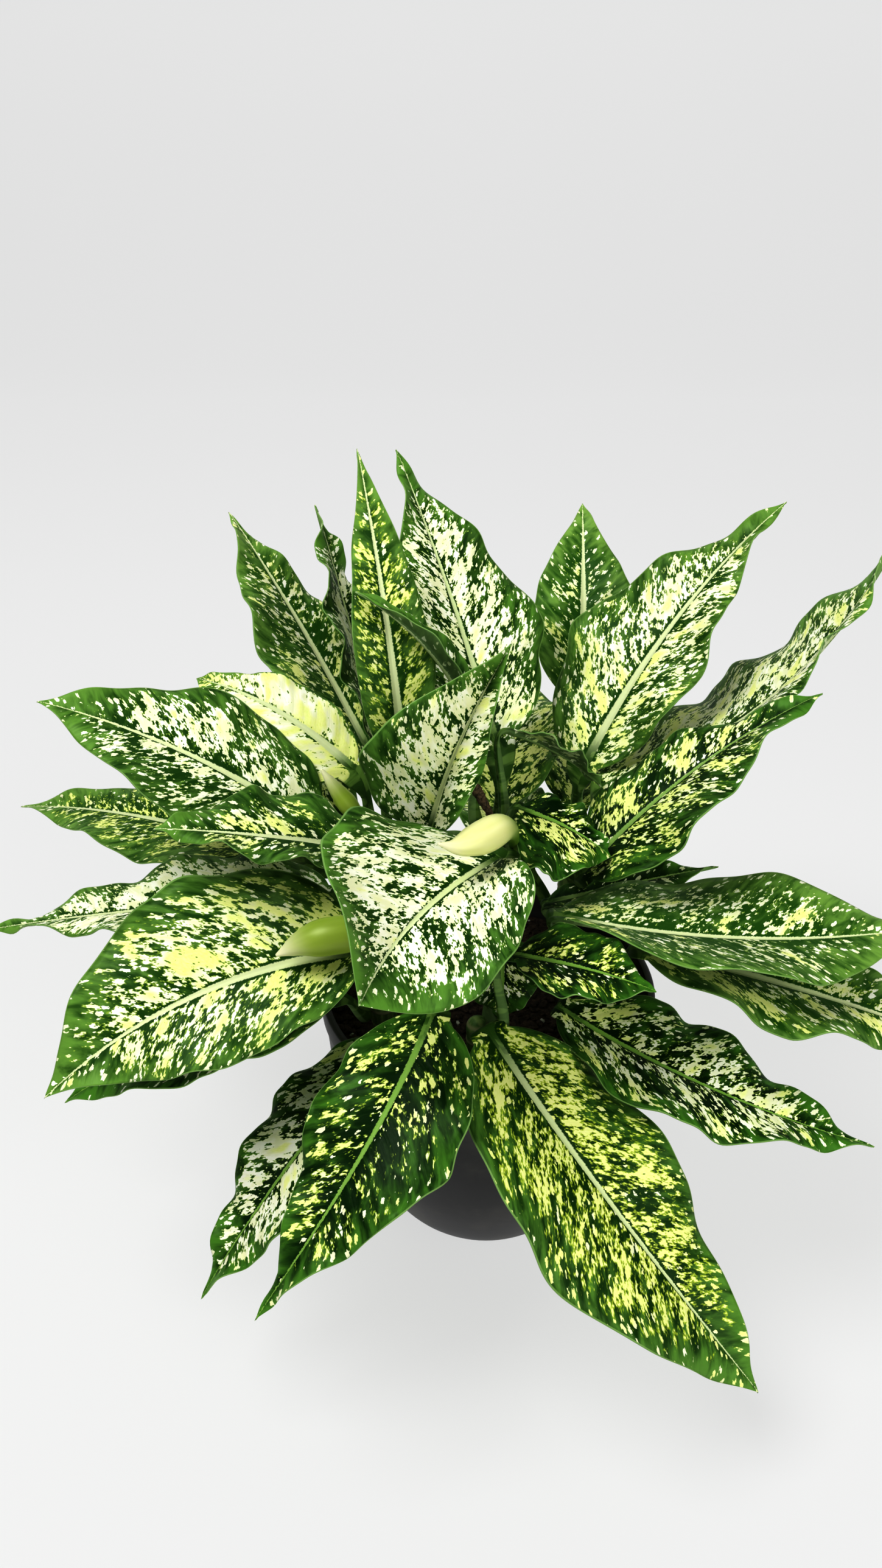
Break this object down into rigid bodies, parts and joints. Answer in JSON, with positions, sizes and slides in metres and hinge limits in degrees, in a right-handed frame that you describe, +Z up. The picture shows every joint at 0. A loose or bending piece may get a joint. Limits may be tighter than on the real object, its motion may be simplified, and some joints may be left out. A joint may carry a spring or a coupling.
{
  "type": "spring snow chinese evergreen in a pot",
  "caption": "A leafy chinese evergreen with broad pointed green and cream leaves on short upright canes, with pale hooded flowers, growing in soil in a round-bottomed dark plastic pot.",
  "frame": {"origin": "The middle of the pot's flat underside, on the surface that it stands on.", "axes": "+Z is up, -Y is towards the viewer of the picture, +X is to the viewer's right."},
  "size_m": [0.4458, 0.3417, 0.3476],
  "materials": {
    "pot_plastic": "satin dark grey, almost black, moulded plastic",
    "potting_soil": "dull dark brown crumbs of peat and bark",
    "cane_green": "smooth green stem with pale rings and papery old sheaths",
    "leaf_green_and_cream": "satin leaf, green with crisp cream and pale yellow blotches",
    "spathe_pale_green": "satin cream-green hood",
    "dried_stalk_brown": "dry dull brown"
  },
  "bodies": {
    "root": {"pot": "pot_plastic", "soil": "potting_soil", "cane_middle": "cane_green", "cane_left": "cane_green", "cane_back_left": "cane_green", "cane_back_right": "cane_green", "cane_front": "cane_green", "cane_right": "cane_green", "leaf_front_right": "leaf_green_and_cream", "leaf_front_left": "leaf_green_and_cream", "leaf_front_left_under": "leaf_green_and_cream", "leaf_front_under": "leaf_green_and_cream", "leaf_left_big": "leaf_green_and_cream", "leaf_left_under": "leaf_green_and_cream", "leaf_left_long": "leaf_green_and_cream", "leaf_left_far": "leaf_green_and_cream", "leaf_upper_left": "leaf_green_and_cream", "leaf_left_small": "leaf_green_and_cream", "leaf_left_back": "leaf_green_and_cream", "leaf_tall_left": "leaf_green_and_cream", "leaf_tall_folded": "leaf_green_and_cream", "leaf_tall_green": "leaf_green_and_cream", "leaf_tall_right": "leaf_green_and_cream", "leaf_tall_rolled": "leaf_green_and_cream", "leaf_centre_upright": "leaf_green_and_cream", "leaf_centre_front": "leaf_green_and_cream", "leaf_centre_right": "leaf_green_and_cream", "leaf_inner_right": "leaf_green_and_cream", "leaf_back_right_big": "leaf_green_and_cream", "leaf_back_far": "leaf_green_and_cream", "leaf_right_upright": "leaf_green_and_cream", "leaf_right_middle": "leaf_green_and_cream", "leaf_right_big": "leaf_green_and_cream", "leaf_right_low": "leaf_green_and_cream", "leaf_right_small": "leaf_green_and_cream", "leaf_centre_low": "leaf_green_and_cream", "leaf_right_front": "leaf_green_and_cream", "leaf_back_low_left": "leaf_green_and_cream", "leaf_back_low_right": "leaf_green_and_cream", "leaf_back_upper": "leaf_green_and_cream", "leaf_back_under": "leaf_green_and_cream", "spathe_centre": "spathe_pale_green", "spathe_left": "spathe_pale_green", "spathe_upper_left": "spathe_pale_green", "dried_stalk_centre": "dried_stalk_brown", "dried_stalk_left": "dried_stalk_brown"}
  },
  "joints": []
}
